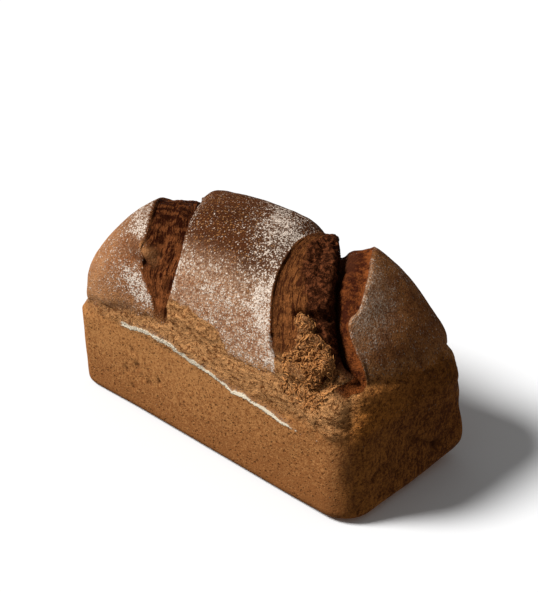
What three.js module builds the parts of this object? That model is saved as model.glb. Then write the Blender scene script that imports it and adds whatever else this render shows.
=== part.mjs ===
// A tin loaf: straight walls from the tin, and a crust that rose over the rim and burst along two cuts.
// Millimetres, +Z up, +X along the loaf, -Y the front. The origin is the middle of the flat base.
import * as THREE from 'three';
import { mergeVertices } from 'three/addons/utils/BufferGeometryUtils.js';

// Driving sizes
const LENGTH = 240;
const WIDTH = 109;
const RIM = 57; // top of the straight walls
const RISE = 86; // dome above the rim
const TAPER = 1.2; // how far the walls lean in at the base
const HALF_LENGTH = LENGTH / 2;
const HALF_WIDTH = WIDTH / 2;

// Rounding along the bottom edge, and what is added to it towards each end and corner
const FOOT = { radius: 7, leftEnd: -2, rightEnd: 3.5, backRight: 5, frontRight: 1.5 };

// Plan radii of the upright corners
const LEFT_CORNERS = 14;
const FRONT_RIGHT_CORNER = 20;
const BACK_RIGHT_CORNER = { base: 6, rim: 20 };

// The dome is a superellipse both ways, fuller at the -X end than at the +X end
const SIDE_POWER = 2.52;
const LEFT_END_POWER = 2.5;
const RIGHT_END_POWER = 2.12;
const POWER_CHANGE = [-0.3, 0.3]; // where one end's power turns into the other's, in half lengths
const RIGHT_END_LIFT = 0.03;
const PLAN_POWER = 2.65; // how the grid's rows draw together towards the ends

// Corners are fully round in plan at the rim, and the rounding dies away up the dome
const RIM_ROUNDING = 2;
const ROUNDING_SOFTNESS = 0.003;

// Mesh: columns in each stretch between the edge lines below, rows across the dome, rows up the walls
const COLUMNS = [16, 9, 17, 10, 3, 5, 12];
const ROWS = 50;
const WALL_ROWS = 8;
const WALL_CROWD = 1.25; // wall rows crowd towards the base
const END_CROWD = 1.3; // columns crowd towards the ends, where the dome is steep

// The stretches, from the -X end to the +X end
const LEFT_LOBE = 0;
const LEFT_CUT = 1;
const MIDDLE_LOBE = 2;
const OPEN_CRUMB = 3;
const CRACK = 4;
const EAR = 5;
const RIGHT_LOBE = 6;

// Edge lines of the two cuts, as [across, x]: across runs from -1 at the front rim to 1 at the back
const EDGE_LINES = [
  [[-1, -42], [-0.73, -41], [-0.61, -53], [-0.45, -59], [-0.29, -66], [-0.06, -84], [0.1, -96],
    [0.3, -103], [0.6, -104], [1, -96]],
  [[-1, -26], [-0.76, -30], [-0.62, -27], [-0.42, -28], [-0.2, -38], [0, -55], [0.1, -66], [0.2, -76],
    [0.33, -84], [0.6, -90], [1, -80]],
  [[-1, 56], [-0.72, 63], [-0.6, 56], [-0.36, 44], [-0.15, 37], [0, 31], [0.15, 28],
    [0.33, 25], [0.6, 15], [1, 8]],
  [[-1, 82], [-0.62, 95], [-0.42, 96], [-0.29, 86], [-0.08, 70], [0.1, 54], [0.2, 45.5],
    [0.33, 35], [0.6, 24], [1, 19]],
  [[-1, 90], [-0.62, 102], [-0.42, 105.5], [-0.29, 92], [-0.13, 77], [0.02, 66], [0.1, 60],
    [0.2, 53], [0.33, 44], [0.6, 31], [1, 27]],
  [[-1, 98], [-0.62, 109], [-0.42, 112], [-0.36, 110], [-0.33, 104], [-0.3, 97], [-0.27, 92.5],
    [-0.24, 89.8], [-0.2, 88.6], [-0.17, 88.8], [-0.11, 87], [-0.05, 83.3], [0.01, 79], [0.07, 74.3],
    [0.13, 69], [0.33, 55], [0.6, 40], [1, 36]],
];

// Where something starts and where it is full, in millimetres from the middle towards one side
const LEFT_END = [60, 110];
const RIGHT_END = [60, 115];
const END_CORNER = [100, 118];
const END_WALL = [108, 119];

// Lobes: heights and depths at right angles to the plain surface
const LEFT_SWELL = { height: 3.9, x: -84, width: 22 };
const RIGHT_SWELL = { height: 4.4, x: 72, width: 20 };
const SWELL_EDGE = [0.95, 0.6];
const CROWN = { height: 2.2, x: 60, y: 27, width: 10 }; // high spot of the right lobe beside the ear
const SHOULDER = { depth: 3, z: 70, width: 15, alongX: [90, 114], alongY: [10, 42] };
const LEFT_SAG = { inCut: 5, beside: 7, width: 0.14 };
const RIGHT_SAG = { beside: 5, width: 0.16, inCut: [4.5, 0.5] }; // in the cut, at its lip and at its crack
const SAG_SPAN = [-0.3, 0.2, 0.7, 0.95]; // a span grows over its first two values, fades over its last two

// Left cut
const LEFT_CUT_DEPTH = 11;
const LEFT_CUT_SPAN = [-0.8, -0.35, -0.05, 0.7];
const LEFT_CUT_LIP = { share: 0.2, grows: [0, 0.06] };
const LEFT_CUT_FLOOR = { grows: [0.04, 0.85], fades: [0.9, 1] };
const FIBRES = { height: 1.3, alongCount: 14, crossCount: 28, size: 5, seed: 3.1 };
const FLAP = { height: 3.4, across: -0.43, lean: 0.1, width: 0.05, grows: [0, 0.02], fades: [0.15, 0.45] };

// Right cut
const LIP_STEP = 1.5;
const LIP_SPAN = [-0.69, -0.6, -0.25, 0.1];
const LIP_RAMP = [0, 0.06];
const LIP_EASE = { share: 0.6, ramp: [0.25, 0.6] };
const OPEN_DEPTH = 3;
const OPEN_SPAN = [-0.55, -0.38, 0.4, 0.85];
const CRACK_SHOULDER = { depth: 8, starts: 0.72, startsEarlier: 0.12, earlier: [-0.1, 0.15] };
const CRACK_DEPTH = { front: 9, back: 4, change: [-0.05, 0.2] };
const CRACK_POWER = 0.7; // below 1 its walls are steep and its floor wide
const CRACK_SPAN = [-0.47, -0.4, 0.45, 0.85];
const EAR_DROP = { open: 2 / 3, shoulder: 0.75, powers: [1.3, 1], change: [-0.1, 0.1] };
const EAR_RIM = { height: 1.5, width: 0.12, span: [-0.4, -0.2, 0.1, 0.4] };

// Torn crumb in the right cut
const LUMPS = { height: 1.7, size: 7, seed: 1.7, share: [0.36, 0.5], span: [-0.72, -0.6, 0.24, 0.36] };
const HOLLOW = { depth: 7, across: -0.38, lean: 0.3, width: 0.022, share: [0.36, 0.44, 0.8, 0.92] };
const TORN_RIDGE = { height: 3.4, grows: [-0.72, -0.66], edge: [-0.03, 0.01], share: [0.4, 0.5, 0.85, 1] };
const RIDGE_TOP = { across: -0.385, right: { from: 0.54, slope: 0.38 }, left: { from: 0.47, slope: 1.4 } };

// Shredded band above the rim, and the crease where the dome starts above it
const BAND = { height: 19, nearLift: 14, nearReach: 60, leftDrop: 13, grows: [0, 4], ends: [-3, 2] };
const BAND_WANDER = { height: 3, size: 14, seed: 5 };
const CREASE = { depth: 0.7, atLeft: 1.1, atRight: 0.9, width: 3.6, left: [50, 75], right: [60, 95] };
const CREASE_ROLL = { share: 0.6, span: [0, 9, 22, 55], ends: [60, 95] };
const SHREDS = { height: 0.8, near: 0.3, size: 9, seed: 9, flatten: 0.6, sharpen: 1.2 };

// +X end wall: soft ripples, two folds and one dent
const END_FACE_SPAN = [6, 14, 78, 95];
const RIPPLE = { height: 0.96, length: 7, slope: [0.8, 1.1], warp: 12.8, warpSize: 30, z: 30, width: 26 };
const END_ROUGHNESS = { height: 1.2, size: 24, seed: 4.4 };
const DENT = { depth: 3.2, y: 25, z: 23, width: 4.5 };
const SLANTED_FOLD = { depth: 1.8, z: 40, slope: 0.68, width: 2.2, span: [-6, 0, 24, 30] };
const ARCHED_FOLD = {
  depth: 1.6, y: -25, z: 33, drop: 0.14, power: 1.7, width: 2.2, span: [-36, -32, -10, -6],
};

// Slight unevenness all over, none at the base
const UNEVENNESS = { height: 0.35, size: 16, seed: 6, above: [2, 10] };

const HASH = [127.1, 311.7, 74.7];
const HASH_SCALE = 43758.5453;
const LAYER_SHIFT = 7.3;

const clamp = (value, low, high) => Math.min(Math.max(value, low), high);
const mix = (a, b, share) => a + (b - a) * share;
const bell = (t) => Math.exp(-t * t);

function ramp([from, to], value) {
  const t = clamp((value - from) / (to - from), 0, 1);
  return t * t * (3 - 2 * t);
}

const span = ([start, full, fade, end], value) => ramp([start, full], value) * (1 - ramp([fade, end], value));

// A smooth curve through [t, value] points
function through(points, at) {
  const last = points.length - 1;
  const t = clamp(at, points[0][0], points[last][0]);
  const slope = (n) => (points[n + 1][1] - points[n][1]) / (points[n + 1][0] - points[n][0]);
  const lean = (n) => (slope(Math.max(n - 1, 0)) + slope(Math.min(n, last - 1))) / 2;
  let n = 0;
  while (n < last - 1 && t > points[n + 1][0]) n += 1;
  const step = points[n + 1][0] - points[n][0];
  const u = (t - points[n][0]) / step;
  return (2 * u ** 3 - 3 * u ** 2 + 1) * points[n][1] + (u ** 3 - 2 * u ** 2 + u) * step * lean(n)
    + (3 * u ** 2 - 2 * u ** 3) * points[n + 1][1] + (u ** 3 - u ** 2) * step * lean(n + 1);
}

// Even noise from -1 to 1 on a lattice of the given size
function noise(x, y, z, size, seed) {
  const at = [x / size + seed, y / size + 2 * seed, z / size + 3 * seed];
  const cell = at.map(Math.floor);
  const share = at.map((value, n) => ramp([0, 1], value - cell[n]));
  let total = 0;
  for (let corner = 0; corner < 8; corner += 1) {
    const side = [corner & 1, (corner >> 1) & 1, corner >> 2];
    const key = cell.reduce((sum, value, n) => sum + (value + side[n]) * HASH[n], 0);
    const raw = Math.sin(key) * HASH_SCALE;
    const weight = side.reduce((product, on, n) => product * (on ? share[n] : 1 - share[n]), 1);
    total += (raw - Math.floor(raw)) * weight;
  }
  return 2 * total - 1;
}

function layered(x, y, z, size, seed, layers = 3) {
  let total = 0;
  for (let n = 0; n < layers; n += 1) {
    total += noise(x, y, z, size / 2 ** n, seed + LAYER_SHIFT * n) / 2 ** n;
  }
  return total;
}

const superellipse = (t, power) => Math.max(1 - Math.abs(t) ** power, 0) ** (1 / power);

// Share of the dome's rise at a plan point given in half lengths and half widths
function dome(along, across) {
  const power = mix(LEFT_END_POWER, RIGHT_END_POWER, ramp(POWER_CHANGE, along));
  return superellipse(along, power) * superellipse(across, SIDE_POWER);
}

// Which stretch a grid column lies in, and how far through it, from 0 to 1
function stretchOf(column) {
  let stretch = 0;
  let start = 0;
  while (stretch < COLUMNS.length - 1 && column >= start + COLUMNS[stretch]) {
    start += COLUMNS[stretch];
    stretch += 1;
  }
  return { stretch, share: (column - start) / COLUMNS[stretch] };
}

// Columns crowd towards the loaf's ends, and towards both edges of every stretch between them
function columnX({ stretch, share }, across) {
  const crowd = 1 + END_CROWD * superellipse(across, SIDE_POWER);
  const from = stretch === LEFT_LOBE ? -HALF_LENGTH : through(EDGE_LINES[stretch - 1], across);
  const to = stretch === RIGHT_LOBE ? HALF_LENGTH : through(EDGE_LINES[stretch], across);
  let eased = share - Math.sin(2 * Math.PI * share) / (4 * Math.PI);
  if (stretch === LEFT_LOBE) eased = share ** crowd;
  if (stretch === RIGHT_LOBE) eased = 1 - (1 - share) ** crowd;
  return mix(from, to, eased);
}

function rowY(x, across) {
  const power = 1 + (SIDE_POWER - 1) * superellipse(x / HALF_LENGTH, PLAN_POWER);
  return Math.sign(across) * HALF_WIDTH * (1 - (1 - Math.abs(across)) ** power);
}

// Moves a point of a rectangle to the like point of one with round corners: a high power makes the
// corner fully round, and a power of 2 leaves the point where it is
function roundCorner(x, y, reachX, reachY, radius, power) {
  const coreX = clamp(x, radius - reachX, reachX - radius);
  const coreY = clamp(y, radius - reachY, reachY - radius);
  const dx = x - coreX;
  const dy = y - coreY;
  const big = Math.max(Math.abs(dx), Math.abs(dy), 1e-9);
  const reach = big * ((Math.abs(dx) / big) ** power + (Math.abs(dy) / big) ** power) ** (1 / power);
  const scale = Math.min(reach / Math.max(Math.hypot(dx, dy), 1e-9), 1);
  return [coreX + dx * scale, coreY + dy * scale];
}

function cornerRadius(x, y, height) {
  if (x < 0) return LEFT_CORNERS;
  if (y < 0) return FRONT_RIGHT_CORNER;
  return mix(BACK_RIGHT_CORNER.base, BACK_RIGHT_CORNER.rim, height ** 3);
}

function footRadius(x, y) {
  const right = ramp(RIGHT_END, x);
  const back = ramp([0, HALF_WIDTH], y);
  const front = ramp([0, HALF_WIDTH], -y);
  return FOOT.radius + FOOT.leftEnd * ramp(LEFT_END, -x) + FOOT.rightEnd * ramp(END_CORNER, x) * (1 - front)
    + FOOT.backRight * back * right + FOOT.frontRight * front * right;
}

// The plain loaf without relief: height runs from 0 at the base to 1 at the rim and on the dome
function plainPlace(stretchShare, across, height) {
  const x = columnX(stretchShare, across);
  const y = rowY(x, across);
  const rise = height === 1 ? dome(x / HALF_LENGTH, y / HALF_WIDTH) : 0;
  const z = RIM * height ** WALL_CROWD + RISE * rise * (1 + RIGHT_END_LIFT * x / HALF_LENGTH);
  const foot = footRadius(x, y);
  const inset = z < foot ? foot - Math.sqrt(foot ** 2 - (foot - z) ** 2) : 0;
  const cut = height === 1 ? 0 : inset + TAPER * (1 - z / RIM);
  const reachX = HALF_LENGTH - cut;
  const reachY = HALF_WIDTH - cut;
  const radius = Math.max(cornerRadius(x, y, height) - inset / 2, 2);
  const power = 2 + RIM_ROUNDING * (1 - rise) ** 2 / (rise + ROUNDING_SOFTNESS);
  const [roundX, roundY] = roundCorner(x * reachX / HALF_LENGTH, y * reachY / HALF_WIDTH,
    reachX, reachY, radius, power);
  return new THREE.Vector3(roundX, roundY, z);
}

// Lobes: the end lobes swell a little, and all three sag to the cuts behind the ridge
function lobes({ x, y, z, across, stretch, share }) {
  const rise = (lobe) => lobe.height * bell((x - lobe.x) / lobe.width);
  const swell = (rise(LEFT_SWELL) + rise(RIGHT_SWELL)) * ramp(SWELL_EDGE, Math.abs(across));
  const crown = CROWN.height * bell(Math.hypot(x - CROWN.x, y - CROWN.y) / CROWN.width);
  const shoulder = SHOULDER.depth * bell((z - SHOULDER.z) / SHOULDER.width)
    * ramp(SHOULDER.alongX, -x) * ramp(SHOULDER.alongY, -y);
  let sag = 0;
  if (stretch === LEFT_CUT) sag = LEFT_SAG.inCut * share ** 2;
  if (stretch === MIDDLE_LOBE) {
    sag = LEFT_SAG.beside * bell(share / LEFT_SAG.width);
    sag += RIGHT_SAG.beside * bell((1 - share) / RIGHT_SAG.width);
  }
  if (stretch === OPEN_CRUMB) sag = mix(...RIGHT_SAG.inCut, share);
  return swell + crown - shoulder - sag * span(SAG_SPAN, across);
}

// Left cut: a groove that deepens from its left lip to its right one, with torn fibres along it
function leftCut({ across, stretch, share }) {
  if (stretch !== LEFT_CUT) return 0;
  const lip = LEFT_CUT_LIP.share * ramp(LEFT_CUT_LIP.grows, share);
  const floor = (1 - LEFT_CUT_LIP.share) * ramp(LEFT_CUT_FLOOR.grows, share);
  const section = (lip + floor) * (1 - ramp(LEFT_CUT_FLOOR.fades, share));
  const threads = layered(share * FIBRES.crossCount, across * FIBRES.alongCount, 0, FIBRES.size, FIBRES.seed);
  const fibres = FIBRES.height * threads * Math.sqrt(Math.sin(Math.PI * share));
  const flap = FLAP.height * bell((across - FLAP.across + FLAP.lean * share) / FLAP.width)
    * ramp(FLAP.grows, share) * (1 - ramp(FLAP.fades, share));
  return flap - span(LEFT_CUT_SPAN, across) * (LEFT_CUT_DEPTH * section + fibres);
}

// Right cut: a stepped lip, an opening that falls to a deep crack, and the ear that rises from it
function rightCut({ across, stretch, share }) {
  const lip = LIP_STEP * span(LIP_SPAN, across);
  const open = OPEN_DEPTH * span(OPEN_SPAN, across);
  const crack = span(CRACK_SPAN, across);
  const shoulder = CRACK_SHOULDER.depth * crack;
  if (stretch === OPEN_CRUMB) {
    const step = lip * ramp(LIP_RAMP, share) * (1 - LIP_EASE.share * ramp(LIP_EASE.ramp, share));
    const starts = CRACK_SHOULDER.starts - CRACK_SHOULDER.startsEarlier * ramp(CRACK_SHOULDER.earlier, across);
    return -step - open * share ** 2 - shoulder * ramp([starts, 1], share);
  }
  if (stretch === CRACK) {
    const deepest = mix(CRACK_DEPTH.front, CRACK_DEPTH.back, ramp(CRACK_DEPTH.change, across));
    const slit = deepest * crack * Math.max(Math.sin(Math.PI * share), 0) ** CRACK_POWER;
    const lipEnd = lip * (1 - LIP_EASE.share) * (1 - share);
    const drop = open * mix(1, EAR_DROP.open, share) + shoulder * mix(1, EAR_DROP.shoulder, share);
    return -lipEnd - drop - slit;
  }
  if (stretch === EAR) {
    const power = mix(...EAR_DROP.powers, ramp(EAR_DROP.change, across));
    return -(EAR_DROP.open * open + EAR_DROP.shoulder * shoulder) * (1 - share) ** power;
  }
  if (stretch === RIGHT_LOBE) {
    return EAR_RIM.height * bell(share / EAR_RIM.width) * span(EAR_RIM.span, across);
  }
  return 0;
}

// Torn crumb in the right cut: lumps, a dark hollow, and the torn ridge in front of it
function crumb({ x, y, z, across, stretch, share }) {
  if (stretch !== OPEN_CRUMB) return 0;
  const torn = ramp(LUMPS.share, share) * span(LUMPS.span, across);
  const lumps = torn * layered(x, y, z, LUMPS.size, LUMPS.seed);
  const hollow = bell((across - HOLLOW.across - HOLLOW.lean * (share - 0.5)) / HOLLOW.width)
    * span(HOLLOW.share, share);
  const top = RIDGE_TOP.across - RIDGE_TOP.right.slope * Math.max(share - RIDGE_TOP.right.from, 0)
    - RIDGE_TOP.left.slope * Math.max(RIDGE_TOP.left.from - share, 0);
  const ridge = ramp(TORN_RIDGE.grows, across) * (1 - ramp(TORN_RIDGE.edge, across - top))
    * span(TORN_RIDGE.share, share);
  return LUMPS.height * lumps - HOLLOW.depth * hollow + TORN_RIDGE.height * ridge;
}

// Shredded band: rough from the rim up to the crease where the dome starts, roughest at the near corner
function shreddedBand({ x, y, z, onDome }) {
  if (!onDome) return 0;
  const near = bell(Math.hypot(x - HALF_LENGTH, y + HALF_WIDTH) / BAND.nearReach);
  const wander = BAND_WANDER.height * noise(x, y, z, BAND_WANDER.size, BAND_WANDER.seed);
  const top = BAND.height + BAND.nearLift * near - BAND.leftDrop * ramp(LEFT_END, -x) + wander;
  const above = z - RIM - top;
  const depth = CREASE.depth + CREASE.atLeft * ramp(CREASE.left, -x) + CREASE.atRight * ramp(CREASE.right, x);
  const roll = CREASE_ROLL.share * span(CREASE_ROLL.span, above) * (1 - ramp(CREASE_ROLL.ends, Math.abs(x)));
  const inBand = ramp(BAND.grows, z - RIM) * (1 - ramp(BAND.ends, above));
  const [flatX, flatY, sharpZ] = [x * SHREDS.flatten, y * SHREDS.flatten, z * SHREDS.sharpen];
  const shreds = layered(flatX, flatY, sharpZ, SHREDS.size, SHREDS.seed, 2);
  return depth * (roll - bell(above / CREASE.width)) + inBand * shreds * (SHREDS.height + SHREDS.near * near);
}

function endWall({ x, y, z }) {
  const face = ramp(END_WALL, x) * span(END_FACE_SPAN, z);
  if (face === 0) return 0;
  const warp = RIPPLE.warp * noise(x, y, z, RIPPLE.warpSize, 2);
  const ripple = Math.sin((y * RIPPLE.slope[0] + z * RIPPLE.slope[1] + warp) / RIPPLE.length)
    * bell((z - RIPPLE.z) / RIPPLE.width);
  const rough = layered(x, y, z, END_ROUGHNESS.size, END_ROUGHNESS.seed, 2);
  const dent = DENT.depth * bell(Math.hypot(y - DENT.y, z - DENT.z) / DENT.width);
  const slanted = z - SLANTED_FOLD.z + SLANTED_FOLD.slope * y;
  const arched = z - ARCHED_FOLD.z + ARCHED_FOLD.drop * Math.abs(y - ARCHED_FOLD.y) ** ARCHED_FOLD.power;
  const folds = SLANTED_FOLD.depth * span(SLANTED_FOLD.span, y) * bell(slanted / SLANTED_FOLD.width)
    + ARCHED_FOLD.depth * span(ARCHED_FOLD.span, y) * bell(arched / ARCHED_FOLD.width);
  return face * (RIPPLE.height * ripple + END_ROUGHNESS.height * rough - dent - folds);
}

function unevenness({ x, y, z }) {
  const height = UNEVENNESS.height * ramp(UNEVENNESS.above, z);
  return height * layered(x, y, z, UNEVENNESS.size, UNEVENNESS.seed, 2);
}

// A box without its underside: each vertex keeps its column, row and wall row
function openBox() {
  const columns = COLUMNS.reduce((sum, count) => sum + count, 0);
  const box = new THREE.BoxGeometry(2, 2, 2, columns, ROWS, WALL_ROWS);
  box.deleteAttribute('normal');
  box.deleteAttribute('uv');
  const under = box.groups.find((group) => group.materialIndex === 5);
  const corners = Array.from(box.index.array);
  box.setIndex(corners.filter((_, n) => n < under.start || n >= under.start + under.count));
  box.clearGroups();
  return { columns, shell: mergeVertices(box) };
}

// Closes the base with one flat polygon over the lowest ring of vertices
function closeBase(shell, ring) {
  const position = shell.attributes.position;
  const outline = ring.map((n) => new THREE.Vector2(position.getX(n), position.getY(n)));
  const faces = THREE.ShapeUtils.triangulateShape(outline, []);
  const under = faces.flatMap(([a, b, c]) => [ring[a], ring[c], ring[b]]);
  shell.setIndex(Array.from(shell.index.array).concat(under));
}

function loafGeometry() {
  const { columns, shell } = openBox();
  const position = shell.attributes.position;
  const spots = [];
  const baseRing = [];
  for (let n = 0; n < position.count; n += 1) {
    const column = Math.round((position.getX(n) + 1) / 2 * columns);
    const across = position.getY(n);
    const height = (position.getZ(n) + 1) / 2;
    const place = plainPlace(stretchOf(column), across, height);
    spots.push({ ...stretchOf(column), across, onDome: height === 1, x: place.x, y: place.y, z: place.z });
    if (height === 0) baseRing.push(n);
    position.setXYZ(n, place.x, place.y, place.z);
  }
  baseRing.sort((a, b) => Math.atan2(spots[a].y, spots[a].x) - Math.atan2(spots[b].y, spots[b].x));
  shell.computeVertexNormals();
  const normal = shell.attributes.normal;
  spots.forEach((spot, n) => {
    let out = endWall(spot) + unevenness(spot) + shreddedBand(spot);
    if (spot.onDome) out += lobes(spot) + leftCut(spot) + rightCut(spot) + crumb(spot);
    const place = new THREE.Vector3(spot.x, spot.y, spot.z);
    place.addScaledVector(new THREE.Vector3().fromBufferAttribute(normal, n), out);
    position.setXYZ(n, place.x, place.y, place.z);
  });
  closeBase(shell, baseRing);
  shell.computeVertexNormals();
  return shell;
}

const crustBrown = new THREE.MeshStandardMaterial({ color: 0x8a5a32, roughness: 0.85, metalness: 0 });

// The relief swells one side more than the other, so the loaf is centred over the origin again
function loaf() {
  const mesh = new THREE.Mesh(loafGeometry(), crustBrown);
  mesh.name = 'loaf';
  const middle = new THREE.Box3().setFromObject(mesh).getCenter(new THREE.Vector3());
  mesh.position.set(-middle.x, -middle.y, 0);
  return mesh;
}

const tinLoaf = new THREE.Group();
tinLoaf.add(loaf());

export default tinLoaf;
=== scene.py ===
"""A tin loaf: straight walls from the tin, and a floured crust that rose over the rim and burst.

The loaf is one grid of faces, bent to the plain loaf and then moved along its normals. Lengths are
millimetres while it is shaped, and metres in the finished meshes. The grid's columns cross the loaf's
two cuts: each lies in a stretch between two edge lines, at a share of it from 0 to 1. Its rows run
across the dome, from -1 at the front rim to 1 at the back.
"""
import bmesh
import bpy
import math
import numpy as np
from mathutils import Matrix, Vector


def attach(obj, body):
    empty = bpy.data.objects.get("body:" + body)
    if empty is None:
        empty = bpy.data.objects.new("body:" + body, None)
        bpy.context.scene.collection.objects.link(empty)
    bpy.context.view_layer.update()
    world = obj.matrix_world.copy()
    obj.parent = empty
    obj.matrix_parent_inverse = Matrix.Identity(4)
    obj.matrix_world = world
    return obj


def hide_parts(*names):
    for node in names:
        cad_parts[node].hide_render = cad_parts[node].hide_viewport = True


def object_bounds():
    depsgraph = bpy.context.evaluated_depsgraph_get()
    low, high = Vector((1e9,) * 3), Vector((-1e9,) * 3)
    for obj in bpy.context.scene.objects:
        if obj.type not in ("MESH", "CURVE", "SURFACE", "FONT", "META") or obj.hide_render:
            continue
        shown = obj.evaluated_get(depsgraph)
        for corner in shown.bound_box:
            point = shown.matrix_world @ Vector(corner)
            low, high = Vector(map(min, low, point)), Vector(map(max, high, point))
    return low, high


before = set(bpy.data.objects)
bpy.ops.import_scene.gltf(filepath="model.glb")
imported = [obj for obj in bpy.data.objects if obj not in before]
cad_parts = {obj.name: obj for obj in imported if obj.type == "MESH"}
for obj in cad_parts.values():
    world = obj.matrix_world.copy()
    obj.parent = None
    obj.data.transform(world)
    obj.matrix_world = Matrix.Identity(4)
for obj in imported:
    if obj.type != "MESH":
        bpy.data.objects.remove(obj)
CAD_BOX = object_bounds()

MM = 0.001

# Driving sizes of the loaf
LENGTH = 240
WIDTH = 109
RIM = 57
RISE = 85
TAPER = 1.2
HALF_LENGTH = LENGTH / 2
HALF_WIDTH = WIDTH / 2
FOOT = {"radius": 7, "left_end": -2, "right_end": 3.5, "back_right": 5, "front_right": 1.5}
LEFT_CORNERS = 14
FRONT_RIGHT_CORNER = 20
BACK_RIGHT_CORNER = {"base": 6, "rim": 20}
SIDE_POWER = 2.52
LEFT_END_POWER = 2.5
RIGHT_END_POWER = 2.12
POWER_CHANGE = (-0.3, 0.3)
RIGHT_END_LIFT = 0.03
PLAN_POWER = 2.65
RIM_ROUNDING = 2
ROUNDING_SOFTNESS = 0.003
LEAST_CORNER = 2

# Grid: columns in each stretch, rows across the dome, rows up the walls
COLUMNS = (54, 42, 74, 58, 14, 24, 50)
ROWS = 196
WALL_ROWS = 31
WALL_CROWD = 1.25
END_CROWD = 1.3
LEFT_LOBE, LEFT_CUT, MIDDLE_LOBE, OPEN_CRUMB, CRACK, EAR, RIGHT_LOBE = range(7)

# Edge lines of the cuts, as (across, x)
EDGE_LINES = (
    ((-1, -42), (-0.73, -41), (-0.61, -53), (-0.45, -59), (-0.29, -66), (-0.06, -84), (0.1, -96),
     (0.3, -103), (0.6, -104), (1, -96)),
    ((-1, -26), (-0.76, -30), (-0.62, -27), (-0.42, -28), (-0.2, -38), (0, -55), (0.1, -66), (0.2, -76),
     (0.33, -84), (0.6, -90), (1, -80)),
    ((-1, 56), (-0.72, 63), (-0.6, 56), (-0.36, 44), (-0.15, 37), (0, 31), (0.15, 28),
     (0.33, 25), (0.6, 15), (1, 8)),
    ((-1, 82), (-0.62, 95), (-0.42, 96), (-0.29, 86), (-0.08, 70), (0.1, 54), (0.2, 45.5),
     (0.33, 35), (0.6, 24), (1, 19)),
    ((-1, 90), (-0.62, 102), (-0.42, 105.5), (-0.29, 92), (-0.13, 77), (0.02, 66), (0.1, 60),
     (0.2, 53), (0.33, 44), (0.6, 31), (1, 27)),
    ((-1, 98), (-0.62, 109), (-0.42, 112), (-0.36, 110), (-0.33, 104), (-0.3, 97), (-0.27, 92.5),
     (-0.24, 89.8), (-0.2, 88.6), (-0.17, 88.8), (-0.11, 87), (-0.05, 83.3), (0.01, 79), (0.07, 74.3),
     (0.13, 69), (0.33, 55), (0.6, 40), (1, 36)),
)

# Zones, as millimetres from the middle towards one side
LEFT_END = (60, 110)
RIGHT_END = (60, 115)
END_CORNER = (100, 118)
END_WALL = (108, 119)
BOX_MARGIN = 1.2

# Reaches across the dome: where each begins, is full, begins to fade and ends
ACROSS = {
    "behind_ridge": (-0.3, 0.2, 0.7, 0.95),
    "left_cut": (-0.8, -0.35, -0.05, 0.7),
    "left_cut_inside": (-0.84, -0.74, 0.45, 0.7),
    "lip": (-0.69, -0.6, -0.25, 0.1),
    "opening": (-0.55, -0.38, 0.4, 0.85),
    "crack": (-0.47, -0.4, 0.45, 0.85),
    "crack_face": (-0.7, -0.6, 0.3, 0.5),
    "crack_shade": (-0.54, -0.48, 0.6, 0.85),
    "slope": (-0.69, -0.62, 0.3, 0.7),
    "slope_shade": (-0.56, -0.5, 0.5, 0.8),
    "crumb": (-0.72, -0.6, 0.24, 0.36),
    "torn_crumb": (-0.74, -0.66, 0.24, 0.36),
    "ear": (-0.72, -0.6, 0.5, 0.8),
    "ear_rim": (-0.4, -0.2, 0.1, 0.4),
    "ear_shade": (-0.06, 0.06, 0.5, 0.8),
    "strands_below_crumb": (-0.9, -0.82, -0.7, -0.64),
    "strands_below_crack": (-0.9, -0.82, -0.62, -0.56),
    "flour_left_high": (-0.44, -0.36, -0.2, 0),
    "flour_left_low": (-0.92, -0.8, -0.64, -0.56),
    "flour_band": (-0.9, -0.72, 0.2, 0.6),
    "flour_low": (-0.95, -0.84, -0.5, -0.25),
    "flour_edge": (-0.7, -0.6, -0.3, 0.4),
    "flour_ear": (-0.45, -0.2, 0.3, 0.7),
}

# Numbers of the lattice noise
HASH = (127.1, 311.7, 74.7)
HASH_SCALE = 43758.5453
LAYER_SHIFT = 7.3

TINY = 1e-9


def ramp(limits, value):
    """Grows smoothly from 0 to 1 between two limits."""
    t = np.clip((value - limits[0]) / (limits[1] - limits[0]), 0, 1)
    return t * t * (3 - 2 * t)


def span(limits, value):
    """Grows over the first two limits and fades over the last two."""
    return ramp(limits[:2], value) * (1 - ramp(limits[2:], value))


def bell(t):
    return np.exp(-t * t)


def half_wave(t):
    """Rises from 0 to 1 and falls back while t goes from 0 to 1."""
    return np.maximum(np.sin(np.pi * t), 0)


def mix(a, b, share):
    return a + (b - a) * share


def through(points, at):
    """A smooth curve through (t, value) points."""
    t, value = (np.array(column, float) for column in zip(*points))
    slope = np.diff(value) / np.diff(t)
    lean = np.concatenate([slope[:1], (slope[:-1] + slope[1:]) / 2, slope[-1:]])
    at = np.clip(at, t[0], t[-1])
    n = np.clip(np.searchsorted(t, at) - 1, 0, len(t) - 2)
    step = t[n + 1] - t[n]
    u = (at - t[n]) / step
    return ((2 * u**3 - 3 * u**2 + 1) * value[n] + (u**3 - 2 * u**2 + u) * step * lean[n]
            + (3 * u**2 - 2 * u**3) * value[n + 1] + (u**3 - u**2) * step * lean[n + 1])


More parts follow.
